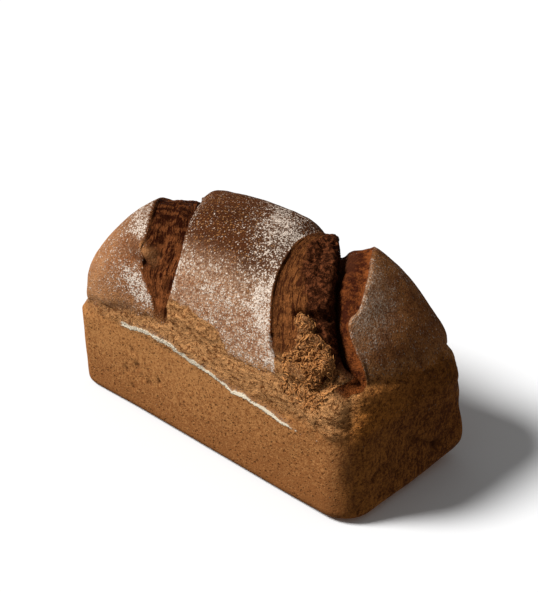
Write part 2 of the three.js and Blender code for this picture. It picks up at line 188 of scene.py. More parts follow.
def noise(at, size, seed):
    """Even noise from -1 to 1 on a lattice of the given size."""
    place = [axis / size + seed * (n + 1) for n, axis in enumerate(at)]
    cell = [np.floor(axis) for axis in place]
    share = [ramp((0, 1), axis - floor) for axis, floor in zip(place, cell)]
    total = 0
    for corner in range(8):
        side = (corner & 1, corner >> 1 & 1, corner >> 2)
        key = sum((floor + on) * factor for floor, on, factor in zip(cell, side, HASH))
        raw = np.sin(key) * HASH_SCALE
        weight = 1
        for on, part in zip(side, share):
            weight = weight * (part if on else 1 - part)
        total = total + (raw - np.floor(raw)) * weight
    return 2 * total - 1


def layered(at, size, seed, layers=3):
    return sum(noise(at, size / 2**n, seed + LAYER_SHIFT * n) / 2**n for n in range(layers))


def superellipse(t, power):
    return np.maximum(1 - np.abs(t)**power, 0)**(1 / power)


def dome(along, across):
    power = mix(LEFT_END_POWER, RIGHT_END_POWER, ramp(POWER_CHANGE, along))
    return superellipse(along, power) * superellipse(across, SIDE_POWER)


class Spots:
    """The grid's vertices: their places on the grid and on the plain loaf, in millimetres.

    Their places with the main forms, moved, are added when those are shaped.
    """

    def __init__(self, grid):
        starts = np.concatenate([[0], np.cumsum(COLUMNS)])
        column = np.round((grid[:, 0] + 1) / 2 * starts[-1])
        self.stretch = np.clip(np.searchsorted(starts, column, side="right") - 1, 0, len(COLUMNS) - 1)
        self.share = (column - starts[self.stretch]) / np.array(COLUMNS)[self.stretch]
        self.across = grid[:, 1]
        self.height = (grid[:, 2] + 1) / 2
        self.on_dome = np.where(self.height > 1 - 0.5 / WALL_ROWS, 1.0, 0.0)
        self.x, self.y, self.z = self.plain_place()

    @property
    def at(self):
        return self.x, self.y, self.z

    def within(self, stretch):
        return np.where(self.stretch == stretch, 1.0, 0.0)

    def reach(self, name, across=None):
        """How much of a named reach across the dome each spot has."""
        return span(ACROSS[name], self.across if across is None else across)

    def plain_x(self):
        share, across = self.share, self.across
        ends = [np.full_like(across, -HALF_LENGTH), np.full_like(across, HALF_LENGTH)]
        lines = np.stack([ends[0]] + [through(line, across) for line in EDGE_LINES] + [ends[1]])
        crowd = 1 + END_CROWD * superellipse(across, SIDE_POWER)
        eased = share - np.sin(2 * np.pi * share) / (4 * np.pi)
        eased = np.where(self.stretch == LEFT_LOBE, share**crowd, eased)
        eased = np.where(self.stretch == RIGHT_LOBE, 1 - (1 - share)**crowd, eased)
        each = np.arange(len(across))
        return mix(lines[self.stretch, each], lines[self.stretch + 1, each], eased)

    def plain_place(self):
        x = self.plain_x()
        power = 1 + (SIDE_POWER - 1) * superellipse(x / HALF_LENGTH, PLAN_POWER)
        y = np.sign(self.across) * HALF_WIDTH * (1 - (1 - np.abs(self.across))**power)
        rise = self.on_dome * dome(x / HALF_LENGTH, y / HALF_WIDTH)
        z = RIM * self.height**WALL_CROWD + RISE * rise * (1 + RIGHT_END_LIFT * x / HALF_LENGTH)
        foot = foot_radius(x, y)
        inset = np.where(z < foot, foot - np.sqrt(np.maximum(foot**2 - (foot - z)**2, 0)), 0)
        cut = np.where(self.on_dome > 0, 0, inset + TAPER * (1 - z / RIM))
        reach_x, reach_y = HALF_LENGTH - cut, HALF_WIDTH - cut
        radius = np.maximum(corner_radius(x, y, self.height) - inset / 2, LEAST_CORNER)
        power = 2 + RIM_ROUNDING * (1 - rise)**2 / (rise + ROUNDING_SOFTNESS)
        x, y = round_corner(x * reach_x / HALF_LENGTH, y * reach_y / HALF_WIDTH,
                            reach_x, reach_y, radius, power)
        return x, y, z


def foot_radius(x, y):
    right, back, front = ramp(RIGHT_END, x), ramp((0, HALF_WIDTH), y), ramp((0, HALF_WIDTH), -y)
    return (FOOT["radius"] + FOOT["left_end"] * ramp(LEFT_END, -x)
            + FOOT["right_end"] * ramp(END_CORNER, x) * (1 - front)
            + FOOT["back_right"] * back * right + FOOT["front_right"] * front * right)


def corner_radius(x, y, height):
    back_right = mix(BACK_RIGHT_CORNER["base"], BACK_RIGHT_CORNER["rim"], height**3)
    return np.where(x < 0, LEFT_CORNERS, np.where(y < 0, FRONT_RIGHT_CORNER, back_right))


def round_corner(x, y, reach_x, reach_y, radius, power):
    """Moves points of a rectangle to the like points of one with round corners."""
    core_x = np.clip(x, radius - reach_x, reach_x - radius)
    core_y = np.clip(y, radius - reach_y, reach_y - radius)
    dx, dy = x - core_x, y - core_y
    big = np.maximum(np.maximum(np.abs(dx), np.abs(dy)), TINY)
    reach = big * ((np.abs(dx) / big)**power + (np.abs(dy) / big)**power)**(1 / power)
    scale = np.minimum(reach / np.maximum(np.hypot(dx, dy), TINY), 1)
    return core_x + dx * scale, core_y + dy * scale


# Relief of the main forms, at right angles to the plain surface

# Swells of the lobes, as (height, x, reach), the crown, and the sunk shoulder of the left end
SWELLS = ((3.9, -84, 22), (4.4, 72, 20))
CROWN = {"height": 2.2, "x": 60, "y": 27, "reach": 10}
SHOULDER = {"depth": 3, "z": 70, "reach": 15}

# Depths of the dome's sag behind the ridge, of the left cut's groove and of the right cut's burst
SAG = {"left_cut": 5, "left_cut_edge": 2, "middle_left": 7, "middle_right": 5, "crumb": (4.5, 0.5)}
GROOVE = {"depth": 11, "fibres": 1.3, "flap": 3.4}
BURST = {"lip": 1.5, "opening": 3, "shoulder": 8, "slit": (9, 4), "ear_rim": 1.5}
EAR_FOOT = {"opening": 2 / 3, "shoulder": 0.75}
CRUMB = {"lumps": 1.7, "hollow": 7, "ridge": 3.4}

# Height of the crease above the rim, and depths of the band and of the end wall's marks
NEAR_CORNER_REACH = 60
CREASE = {"height": 19, "near_corner": 14, "left_end": -13, "wander": 3}
BAND = {"depth": 0.7, "left": 1.1, "right": 0.9, "roll": 0.6, "width": 3.6}
END_MARKS = {"dent": 3.2, "slanted": 1.8, "arched": 1.6, "width": 2.2}
END_WAVES = {"ripple": 0.96, "lumps": 1.2}
UNEVENNESS = 0.35


def lobes(s):
    """Swells of the lobes, less the sunk shoulder and the sag behind the ridge."""
    q = s.share
    swell = sum(height * bell((s.x - x) / reach) for height, x, reach in SWELLS)
    crown = CROWN["height"] * bell(np.hypot(s.x - CROWN["x"], s.y - CROWN["y"]) / CROWN["reach"])
    shoulder = (SHOULDER["depth"] * bell((s.z - SHOULDER["z"]) / SHOULDER["reach"])
                * ramp((90, 114), -s.x) * ramp((10, 42), -s.y))
    sag = (s.within(LEFT_CUT) * (SAG["left_cut"] * q**2 + SAG["left_cut_edge"] * ramp((0.8, 1), q))
           + s.within(MIDDLE_LOBE) * (SAG["middle_left"] * bell(q / 0.14)
                                      + SAG["middle_right"] * bell((1 - q) / 0.16))
           + s.within(OPEN_CRUMB) * mix(*SAG["crumb"], q))
    return s.on_dome * (swell * ramp((0.95, 0.6), np.abs(s.across)) + crown - shoulder
                        - sag * s.reach("behind_ridge"))


def left_cut(s):
    """The left cut's groove, deepest beside the middle lobe, with its fibres and its flap."""
    q = s.share
    section = (0.2 * ramp((0, 0.06), q) + 0.8 * ramp((0.04, 0.85), q)) * (1 - ramp((0.9, 1), q))
    threads = layered((q * 28, s.across * 14, 0 * q), 5, 3.1)
    fibres = GROOVE["fibres"] * threads * np.sqrt(half_wave(q))
    bridge = GROOVE["flap"] * bell((s.across + 0.43 + 0.1 * q) / 0.05) * span((0, 0.02, 0.15, 0.45), q)
    groove = s.reach("left_cut") * (GROOVE["depth"] * section + fibres)
    return s.on_dome * s.within(LEFT_CUT) * (bridge - groove)


def right_cut(s):
    """The right cut: its stepped lip and slope, the deep crack, and the ear's face and rim."""
    q = s.share
    lip = BURST["lip"] * s.reach("lip")
    opening = BURST["opening"] * s.reach("opening")
    crack = s.reach("crack")
    shoulder = BURST["shoulder"] * crack
    step = lip * ramp((0, 0.06), q) * (1 - 0.6 * ramp((0.25, 0.6), q))
    brink = 0.72 - 0.12 * ramp((-0.1, 0.15), s.across)
    slope = step + opening * q**2 + shoulder * ramp((brink, 1), q)
    slit = crack * mix(*BURST["slit"], ramp((-0.05, 0.2), s.across)) * half_wave(q)**0.7
    floor = (0.4 * lip * (1 - q) + opening * mix(1, EAR_FOOT["opening"], q)
             + shoulder * mix(1, EAR_FOOT["shoulder"], q) + slit)
    face = ((EAR_FOOT["opening"] * opening + EAR_FOOT["shoulder"] * shoulder)
            * (1 - q)**mix(1.3, 1, ramp((-0.1, 0.1), s.across)))
    rim = BURST["ear_rim"] * bell(q / 0.12) * s.reach("ear_rim")
    return s.on_dome * (s.within(RIGHT_LOBE) * rim - s.within(OPEN_CRUMB) * slope
                        - s.within(CRACK) * floor - s.within(EAR) * face)


def crumb_zone(s):
    """Where the right cut's floor is torn crumb."""
    return s.within(OPEN_CRUMB) * ramp((0.36, 0.5), s.share) * s.reach("crumb")


def ridge_top(share):
    """How far across the dome the torn ridge reaches."""
    return -0.385 - 0.38 * np.maximum(share - 0.54, 0) - 1.4 * np.maximum(0.47 - share, 0)


def torn_ridge(s):
    gap = s.across - ridge_top(s.share)
    low = ramp((-0.72, -0.66), s.across) * (1 - ramp((-0.03, 0.01), gap))
    return s.within(OPEN_CRUMB) * low * span((0.4, 0.5, 0.85, 1), s.share)


def hollow(s):
    leaning = s.across - 0.3 * (s.share - 0.5)
    return s.within(OPEN_CRUMB) * bell((leaning + 0.38) / 0.02) * span((0.36, 0.44, 0.8, 0.92), s.share)


def crumb(s):
    """The right cut's torn crumb: lumps, the dark hollow and the ridge before it."""
    lumps = crumb_zone(s) * layered(s.at, 7, 1.7)
    return s.on_dome * (CRUMB["lumps"] * lumps - CRUMB["hollow"] * hollow(s) + CRUMB["ridge"] * torn_ridge(s))


def near_corner(s):
    return bell(np.hypot(s.x - HALF_LENGTH, s.y + HALF_WIDTH) / NEAR_CORNER_REACH)


def above_crease(s):
    """Height above the crease that the dome starts from."""
    top = (CREASE["height"] + CREASE["near_corner"] * near_corner(s)
           + CREASE["left_end"] * ramp(LEFT_END, -s.x) + CREASE["wander"] * noise(s.at, 14, 5))
    return s.z - RIM - top


def band_zone(s, above):
    return s.on_dome * ramp((0, 4), s.z - RIM) * (1 - ramp((-3, 2), above))


def shredded_band(s):
    """The shredded band above the rim, the crease over it and the roll over that."""
    above = above_crease(s)
    depth = BAND["depth"] + BAND["left"] * ramp((50, 75), -s.x) + BAND["right"] * ramp((60, 95), s.x)
    roll = BAND["roll"] * span((0, 9, 22, 55), above) * (1 - ramp((60, 95), np.abs(s.x)))
    shreds = layered((s.x * 0.6, s.y * 0.6, s.z * 1.2), 9, 9, 2) * (0.8 + 0.3 * near_corner(s))
    return s.on_dome * depth * (roll - bell(above / BAND["width"])) + band_zone(s, above) * shreds


def end_face(s):
    return ramp(END_WALL, s.x) * span((6, 14, 78, 95), s.z)


def end_creases(s):
    """Depth of the end wall's dent and two folds."""
    dent = END_MARKS["dent"] * bell(np.hypot(s.y - 25, s.z - 23) / 4.5)
    slant = (s.z - 40 + 0.68 * s.y) / END_MARKS["width"]
    arch = (s.z - 33 + 0.14 * np.abs(s.y + 25)**1.7) / END_MARKS["width"]
    slanted = END_MARKS["slanted"] * span((-6, 0, 24, 30), s.y) * bell(slant)
    arched = END_MARKS["arched"] * span((-36, -32, -10, -6), s.y) * bell(arch)
    return end_face(s) * (dent + slanted + arched)


def end_wall(s):
    """Waves of the end wall, less its dent and folds."""
    warp = 12.8 * noise(s.at, 30, 2)
    ripple = np.sin((s.y * 0.8 + s.z * 1.1 + warp) / 7) * bell((s.z - 30) / 26)
    waves = END_WAVES["ripple"] * ripple + END_WAVES["lumps"] * layered(s.at, 24, 4.4, 2)
    return end_face(s) * waves - end_creases(s)


def unevenness(s):
    return UNEVENNESS * layered(s.at, 16, 6, 2) * ramp((2, 10), s.z)


def relief(s):
    return (lobes(s) + left_cut(s) + right_cut(s) + crumb(s) + shredded_band(s) + end_wall(s)
            + unevenness(s))


# Fine relief, at right angles to the moved surface

# Cracks in the band below the cuts, as (depth, width, points)
CRACKS = (
    (2.2, 0.9, ((55, -50, 104), (58, -52, 97), (61, -53, 94), (65, -54, 93), (68, -53, 94), (75, -55, 99))),
    (2.4, 0.9, ((75, -55, 100), (76, -52, 95), (80, -53, 92))),
    (2.2, 0.9, ((83, -51, 93), (88, -51, 94), (92, -49, 95), (95, -47, 93), (98, -45, 91), (99, -43, 94))),
    (2.0, 0.8, ((70, -54, 88), (72, -54, 84), (75, -53, 82), (80, -53, 80))),
    (2.0, 0.9, ((108, -29, 96), (108, -28, 92), (109, -28, 89))),
    (2.4, 1.2, ((-32, -53, 88), (-31, -53, 84), (-29, -53, 81))),
)

# Folds of the dough, most of them round the near corner, as (height, width, points)
FOLDS = (
    (1.8, 1.8, ((93, -55, 68), (93, -54, 77), (96, -53, 85), (100, -49, 88))),
    (1.3, 2.0, ((104, -46, 74), (109, -38, 77), (113, -30, 79), (116, -11, 80), (116, 7, 77), (117, 29, 74))),
    (1.2, 1.6, ((84, -54, 86), (80, -54, 78), (84, -54, 70), (92, -54, 66))),
    (1.0, 1.3, ((76, -54, 62), (82, -54, 59), (88, -54, 57), (98, -53, 54))),
    (1.1, 1.3, ((88, -54, 65), (94, -54, 62.6), (99, -52, 61.7))),
    (1.1, 1.3, ((86, -54, 61.6), (94.6, -54, 58.6), (100, -51.5, 54.7))),
    (1.0, 1.6, ((-28, -53, 83), (-20, -53, 87), (-10, -53, 86), (4, -53, 88))),
)

# Pits in the front wall, as (radius, x, z), and their depth
PITS = ((1.6, -63, 46), (2.2, -59, 36), (1.6, -70, 29), (1.4, -55, 30), (1.6, -48, 28), (1.4, -39, 33),
        (1.3, -65, 18))
PIT_DEPTH = 2.2

# Smooth swelling of the dough at the near corner
BULGE = {"place": (101, -50, 76), "radius": 12, "height": 1.6}

# Upper edge of the golden patch, as (x, z)
GOLDEN_TOP = ((-40, 84), (-27, 97), (-9, 95), (9, 91), (20, 82))

# Heights and depths of the skin, of the cuts' insides, of the band's shreds and of the flap
SKIN = {"thickness": 0.45, "waves": 0.12}
CUT_INSIDE = {"strands": 0.6, "lumps": 0.5, "towards_front": (0.5, 1.4)}
SLOPE_GROOVES = 0.4
TORN = {"lumps": 0.9, "pits": 1.5, "strings": 0.7}
STANDING = {"height": 1.2, "lumps": 0.6, "pits": 1.1, "strings": 1.5}
FACE_LUMPS = 0.35
SHREDS = {"all": 0.35, "near_corner": 0.75, "golden": 0.4}
FLAP = {"thickness": 1.6, "hole": 2.2}


def bulge(s):
    return bell(np.linalg.norm(s.moved - BULGE["place"], axis=1) / BULGE["radius"])


def distance_to(s, points):
    """Distance from the moved surface to a line of straight runs."""
    nearest = np.full(len(s.x), np.inf)
    for start, end in zip(np.array(points[:-1], float), np.array(points[1:], float)):
        run = end - start
        t = np.clip((s.moved - start) @ run / (run @ run), 0, 1)
        nearest = np.minimum(nearest, np.linalg.norm(s.moved - start - t[:, None] * run, axis=1))
    return nearest


def lines_of(s, lines, wander):
    """Heights or depths of the lines that CRACKS or FOLDS list."""
    return sum(height * bell((distance_to(s, points) + wander) / width) for height, width, points in lines)


def cracks(s):
    return lines_of(s, CRACKS, 0.7 * noise(s.at, 4, 91))


def folds(s):
    return lines_of(s, FOLDS, 0.8 * noise(s.at, 6, 92))


def wall_pits(s):
    """Small pits in the front wall, from 0 to 1."""
    front = ramp((45, 50), -s.moved[:, 1])
    return front * sum(bell(np.hypot(s.moved[:, 0] - x, s.moved[:, 2] - z) / radius) for radius, x, z in PITS)


def strings(at, size, seed):
    """Thin raised strings, like torn dough."""
    return (1 - np.abs(noise(at, size, seed)))**4 + 0.6 * (1 - np.abs(noise(at, size / 1.9, seed + 3)))**4


def ragged_across(s):
    return s.across + 0.02 * noise(s.at, 8, 14) + 0.012 * noise(s.at, 3.5, 15)


def ragged_share(s):
    return s.share + 0.07 * noise(s.at, 9, 16) + 0.04 * noise(s.at, 4, 17)


def cut_inside(s):
    """The left cut's torn inside."""
    inside = span((0, 0.05, 0.95, 1), s.share) * s.reach("left_cut_inside", ragged_across(s))
    return s.on_dome * s.within(LEFT_CUT) * inside * (1 - flap(s))


def past_left_edge(s):
    """The share past the left cut's left edge, below 0 on the left lobe, and where it counts."""
    q = np.where(s.stretch == LEFT_CUT, s.share, s.share - 1)
    zone = np.where((s.stretch == LEFT_CUT) | (s.stretch == LEFT_LOBE), 1.0, 0.0)
    return q, s.on_dome * zone


def flap(s):
    """A torn bit of crust that bridges the left cut's edge."""
    q, zone = past_left_edge(s)
    reach = span((-0.22, -0.05, 0.2, 0.42), q)
    return zone * reach * bell((ragged_across(s) + 0.455 + 0.1 * q) / 0.04)


def flap_hole(s):
    q, zone = past_left_edge(s)
    return zone * bell((q - 0.07) / 0.11) * bell((s.across + 0.53 + 0.15 * q) / 0.022)


def slope_zone(s):
    """The right cut's smooth slope, from its lip to the torn crumb."""
    return s.on_dome * s.within(OPEN_CRUMB) * (s.reach("slope") * ramp((0, 0.03), s.share))


def torn_zone(s):
    """The right cut's torn crumb, with a ragged edge."""
    edge = 0.46 - 0.18 * ramp((-0.3, -0.05), s.across)
    return (s.on_dome * s.within(OPEN_CRUMB) * ramp((edge, edge + 0.07), ragged_share(s))
            * s.reach("torn_crumb", ragged_across(s)))


def ridge_zone(s):
    """The light crumb that stands up at the front of the right cut."""
    share = ragged_share(s)
    gap = ragged_across(s) - ridge_top(share)
    low = ramp((-0.74, -0.68), ragged_across(s)) * (1 - ramp((-0.012, 0.012), gap))
    side = span((0.42, 0.48, 0.92, 1), share + 1.2 * np.maximum(-0.58 - s.across, 0))
    return s.on_dome * s.within(OPEN_CRUMB) * low * side


def hollow_zone(s):
    """The gap behind the standing crumb, where painted shade lies and no strands stand."""
    line = -0.38 + 0.3 * (s.share - 0.5) + 0.02 * noise(s.at, 5, 18)
    width = 0.015 * (1 + 0.5 * noise(s.at, 4, 19))
    reach = span((0.33, 0.4, 0.76, 0.9), s.share)
    return s.on_dome * s.within(OPEN_CRUMB) * bell((s.across - line) / width) * reach


def golden_patch(s):
    """Torn golden dough between the left cut's end and the flour."""
    gap = s.moved[:, 2] - through(GOLDEN_TOP, s.moved[:, 0]) + 3 * noise(s.at, 6, 93)
    return s.on_dome * ramp((20, 40), -s.y) * span((-32, -28, 15, 24), s.moved[:, 0]) * ramp((8, -5), gap)


def bare_dough(s):
    """Torn dough below the cuts' ends, where no skin is left."""
    below = s.on_dome * (s.stretch > MIDDLE_LOBE) * (s.stretch < RIGHT_LOBE) * ramp((-0.6, -0.64), s.across)
    return np.maximum(golden_patch(s), below)


def skin_gap(s):
    """Height above the lower edge of the crust's skin."""
    wander = 1.8 * noise(s.at, 9, 94)
    return (above_crease(s) + 1.5 * ramp((50, 100), -s.x) + wander + 1.2 * noise(s.at, 4, 95)
            - 30 * bare_dough(s))


def fine_relief(s):
    column, across = s.stretch + s.share, s.across
    skin = s.on_dome * ramp((0, 1.5), skin_gap(s))
    inside, slope, torn, ridge = cut_inside(s), slope_zone(s), torn_zone(s), ridge_zone(s)
    strands = layered((column * 19, across * 9, 0 * across), 1, 12.5, 2)
    grooves = layered((column * 26, across * 14, 0 * across), 1, 21, 2)
    lumps = layered(s.at, 4.2, 31, 3)
    pits = ramp((0.2, 0.7), noise(s.at, 3.6, 44)) + ramp((0.3, 0.7), noise(s.at, 2.2, 45))
    band = s.on_dome * (1 - skin) * ramp((2, 8), s.z - RIM)
    shreds = strings((s.x * 0.8, s.y * 0.8, s.z * 1.3), 5.5, 51)
    face = s.on_dome * (s.within(EAR) + s.within(CRACK)) * s.reach("crack_face")
    front = mix(*CUT_INSIDE["towards_front"], ramp((-0.3, -0.6), across))
    out = (SKIN["thickness"] * skin * (1 - inside) * (1 - slope) * (1 - torn)
           * ramp((-0.97, -0.93), -np.abs(across)))
    out += SKIN["waves"] * layered(s.at, 4.5, 61, 2) * skin
    out += inside * (CUT_INSIDE["strands"] * strands + CUT_INSIDE["lumps"] * lumps * front)
    out += SLOPE_GROOVES * slope * (1 - torn) * grooves
    out += (torn * (TORN["lumps"] * lumps - TORN["pits"] * pits + TORN["strings"] * strings(s.at, 5, 46))
            * (1 - ridge))
    out += ridge * (STANDING["height"] + STANDING["lumps"] * lumps - STANDING["pits"] * pits
                    + STANDING["strings"] * strings(s.at, 3.6, 47))
    out += face * FACE_LUMPS * lumps
    roughness = (SHREDS["all"] + SHREDS["near_corner"] * near_corner(s) * ramp((44, 51), -s.y)
                 + SHREDS["golden"] * golden_patch(s))
    out += band * roughness * (1 - 0.85 * bulge(s)) * (shreds - 0.7)
    out += (FLAP["thickness"] * flap(s) - FLAP["hole"] * flap_hole(s)
            + BULGE["height"] * bulge(s) * s.on_dome)
    return out + folds(s) - cracks(s) - PIT_DEPTH * wall_pits(s)


# Where each finish lies on the crust

# The line of flour that the tin's rim left along the front, as (x, z)
FLOUR_LINE = (
    (-80, 59.5), (-72, 61), (-64, 61.6), (-54, 63.3), (-47, 64.4), (-38, 63.4), (-29, 63.4), (-20, 62),
    (-10, 60.7), (2, 60.2), (10, 59.4), (17, 57.6), (22, 57), (26, 54.6), (31, 55.4), (49, 54.8),
    (63, 53), (76, 52.4),
)

# How thickly flour and its dust lie in each place, and how much painted shade the cracks, creases, pits and
# hollows get, from 0 to 1
FLOUR = {"left": 0.08, "left_patches": 0.75, "left_edge": 0.2, "middle": 0.04, "band": 0.78, "low": 0.5,
         "middle_edge": 0.42, "right": 0.1, "ear": 0.46, "behind": 0.2}
DUST = {"left": 0.2, "middle": 0.62, "right": 0.4, "flour": 0.35}
SHADE = {"ear": 0.8, "crease": 0.4, "cracks": 0.4, "pits": 0.8, "end_creases": 0.3}


def flour_line_gap(s):
    """Height above the line of flour."""
    return s.moved[:, 2] - through(FLOUR_LINE, s.moved[:, 0])


def flour_line_reach(s):
    return span((-76, -66, 60, 80), s.moved[:, 0]) * ramp((20, 40), -s.y)


def flour_cover(s):
    """How thickly flour lies, from 0 to 1, before its grains are drawn."""
    q, across, front = s.share, s.across, ramp((0.25, -0.05), s.across)
    cloud = np.clip(0.5 + 0.8 * layered(s.at, 16, 81, 2), 0, 1)
    left = s.within(LEFT_LOBE) * (FLOUR["left"]
                                  + FLOUR["left_patches"] * ramp((0.74, 0.97), q) * s.reach("flour_left_high")
                                  + FLOUR["left_patches"] * ramp((0.78, 0.98), q) * s.reach("flour_left_low")
                                  + FLOUR["left_edge"] * ramp((0.55, 0.9), q))
    band = ramp((0.55, 0.88), q + 0.25 * (across + 0.45)) * s.reach("flour_band")
    beside_cut = ramp((0.8, 0.92), q) * ramp((-0.5, -0.58), across)
    low = s.reach("flour_low") * (0.45 + 0.4 * cloud) * (1 - beside_cut)
    edge = bell(q / 0.13) * s.reach("flour_edge")
    middle = s.within(MIDDLE_LOBE) * (FLOUR["middle"] + FLOUR["band"] * band
                                      + FLOUR["low"] * low * (1 - 0.4 * band) + FLOUR["middle_edge"] * edge)
    near_ear = ramp((0.4, 0.02), q) * s.reach("flour_ear")
    right = s.within(RIGHT_LOBE) * (FLOUR["right"] + FLOUR["ear"] * near_ear)
    behind = ramp((0, 0.3), across) * FLOUR["behind"] * cloud
    cover = (left + middle + right) * (0.7 + 0.6 * cloud) * mix(0.6, 1, front) + behind
    bare = 6 * ramp((60, 85), -s.x)
    fade = mix(3, 12, ramp((40, -10), s.x))
    return np.clip(s.on_dome * cover * ramp((0, 1), (skin_gap(s) - bare) / fade) * (1 - flap(s)), 0, 1)


def dust_cover(s):
    """How thickly flour dust lies between the grains of flour."""
    across = s.across
    left = s.within(LEFT_LOBE) * DUST["left"] * ramp((0.05, -0.2), across)
    middle = s.within(MIDDLE_LOBE) * DUST["middle"] * ramp((-0.25, -0.5), across)
    right = s.within(RIGHT_LOBE) * DUST["right"] * ramp((0.4, 0.05), s.share) * ramp((-0.45, -0.15), across)
    cover = (left + middle + right + DUST["flour"] * flour_cover(s)**2) * ramp((0.2, 0), across)
    return s.on_dome * cover * ramp((0, 4), skin_gap(s))


def strand_share(s):
    """How many torn strands stand on each place, from 0 to 1."""
    below = s.within(OPEN_CRUMB) * ramp((0.2, 0.45), s.share) * s.reach("strands_below_crumb")
    below = below + s.within(CRACK) * s.reach("strands_below_crack")
    return s.on_dome * np.clip(ridge_zone(s) + 0.2 * below - hollow_zone(s), 0, 1)


def painted_shade(s):
    """Painted shade, from 0 to 1, in the crack and on the ear's face beside it, in the hollow, under the
    flap, and in the cracks, creases, pits and folds.
    """
    # Painted shade on the ear's face next to the crack
    deep = SHADE["ear"] * s.within(EAR) * ramp((0.55, 0.2), ragged_share(s)) * s.reach("ear_shade")
    edge = 0.82 - 0.12 * ramp((-0.1, 0.1), s.across)
    crack = (s.within(CRACK) * s.reach("crack_shade") + deep
             + s.within(OPEN_CRUMB) * ramp((edge, edge + 0.15), ragged_share(s)) * s.reach("slope_shade"))
    # Painted shade along the crease on the left
    crease = SHADE["crease"] * s.on_dome * bell((above_crease(s) + 1) / 4) * ramp((30, 80), -s.x)
    dark = (s.on_dome * crack + hollow_zone(s) + flap_hole(s) + SHADE["cracks"] * cracks(s)
            + SHADE["pits"] * wall_pits(s) + SHADE["end_creases"] * end_creases(s) + crease)
    return np.clip(dark, 0, 1)


def finishes(s):
    """Named fields, one value at each vertex: shares from 0 to 1, and gaps in millimetres."""
    return {
        "skin_gap": skin_gap(s),
        "dome": s.on_dome,
        "cut": cut_inside(s),
        "slope": slope_zone(s),
        "torn": torn_zone(s),
        "ridge": ridge_zone(s),
        "ear": s.on_dome * (s.within(EAR) * s.reach("ear")),
        "ear_light": 0.25 * ramp((-0.2, -0.35), s.across) + 0.45 * ramp((0.35, 0.9), s.share),
        "dark": painted_shade(s),
        "flour": flour_cover(s),
        "dust": dust_cover(s),
        "right_lobe": s.on_dome * s.within(RIGHT_LOBE),
        "left_lobe": s.on_dome * s.within(LEFT_LOBE) * ramp((1, 0.5), s.share) * ramp((0.3, 0), s.across),
        "line_gap": flour_line_gap(s),
        "line_reach": flour_line_reach(s),
        "end": ramp((105, 119), s.x) * (1 - s.on_dome * ramp((0, 12), above_crease(s))),
        "back": ramp((-45, 20), s.y),
        "strand_share": strand_share(s),
        "flap": flap(s) * s.within(LEFT_CUT),
    }


# Meshes

# Torn strands of the right cut: how many, and their sizes and shapes
STRANDS = 760
STRAND_CUTS = 3
STRAND_TAPER = 0.75
STRAND_SEED = 11
STRAND_LENGTH = (1.5, 4.4)
STRAND_WIDTH = (0.4, 1.0)
STRAND_THICKNESS = (0.3, 0.7)
STRAND_CURL = (-0.1, 0.35)
STRAND_SWAY = (-0.7, 0.7)
STRAND_LIFT = 0.1


def grid_box():
    """A cube from -1 to 1 cut into the loaf's grid of faces, with one face for its base."""
    bm = bmesh.new()
    bmesh.ops.create_cube(bm, size=2)
    under = [face for face in bm.faces if face.normal.z < -0.5]
    bmesh.ops.delete(bm, geom=under, context="FACES_ONLY")
    for axis, parts in enumerate((sum(COLUMNS), ROWS, WALL_ROWS)):
        along = [edge for edge in bm.edges if abs(edge.verts[0].co[axis] - edge.verts[1].co[axis]) > 1]
        bmesh.ops.subdivide_edges(bm, edges=along, cuts=parts - 1, use_grid_fill=True)
    rim = [edge for edge in bm.edges if edge.is_boundary]
    bmesh.ops.holes_fill(bm, edges=rim, sides=0)
    bmesh.ops.recalc_face_normals(bm, faces=bm.faces)
    return bm


def as_mesh(bm, name):
    """Turns a bmesh into a mesh."""
    mesh = bpy.data.meshes.new(name)
    bm.to_mesh(mesh)
    bm.free()
    return mesh


def add_object(name, data):
    """Puts a new object in the scene."""
    item = bpy.data.objects.new(name, data)
    bpy.context.scene.collection.objects.link(item)
    return item


def read(mesh, what):
    """The places or the normals of a mesh's vertices, a row for each."""
    values = np.empty(3 * len(mesh.vertices))
    mesh.vertices.foreach_get(what, values)
    return values.reshape(-1, 3)


def move(mesh, points):
    mesh.vertices.foreach_set("co", points.ravel())
    mesh.update()


def field(mesh, name, values):
    mesh.attributes.new(name, "FLOAT", "POINT").data.foreach_set("value", values)


def add_piece(mesh, finish, replaced=None):
    """Puts a finished mesh in the scene as a piece of the loaf."""
    piece = add_object(mesh.name, mesh)
    mesh.materials.append(finish)
    mesh.shade_smooth()
    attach(piece, "root")
    if replaced:
        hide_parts(replaced)
    return piece


def loaf_mesh():
    mesh = as_mesh(grid_box(), "loaf_crust")
    s = Spots(read(mesh, "co"))
    plain = np.stack(s.at, axis=-1)
    move(mesh, plain)
    s.moved = plain + read(mesh, "normal") * relief(s)[:, None]
    s.moved -= (s.moved.min(axis=0) + s.moved.max(axis=0)) / 2 * (1, 1, 0)
    move(mesh, s.moved)
    finished = s.moved + read(mesh, "normal") * fine_relief(s)[:, None]
    move(mesh, fitted(finished) * MM)
    for name, values in finishes(s).items():
        field(mesh, name, values)
    column, across = s.stretch + s.share, s.across
    grain = mesh.attributes.new("grain", "FLOAT_VECTOR", "POINT")
    grain.data.foreach_set("vector", np.stack([column, across, 0 * across], axis=-1).ravel())
    return mesh


def fitted(points):
    """Eases the points that would leave the solid's box back into it."""
    low, high = (np.array(corner) / MM for corner in CAD_BOX)
    over = np.maximum(points - (high - BOX_MARGIN), 0)
    under = np.maximum(low + BOX_MARGIN - points, 0)
    under[:, 2] = 0
    points = points - over + BOX_MARGIN * (1 - np.exp(-over / BOX_MARGIN))
    points = points + under - BOX_MARGIN * (1 - np.exp(-under / BOX_MARGIN))
    points[:, 2] = np.maximum(points[:, 2], 0)
    return points


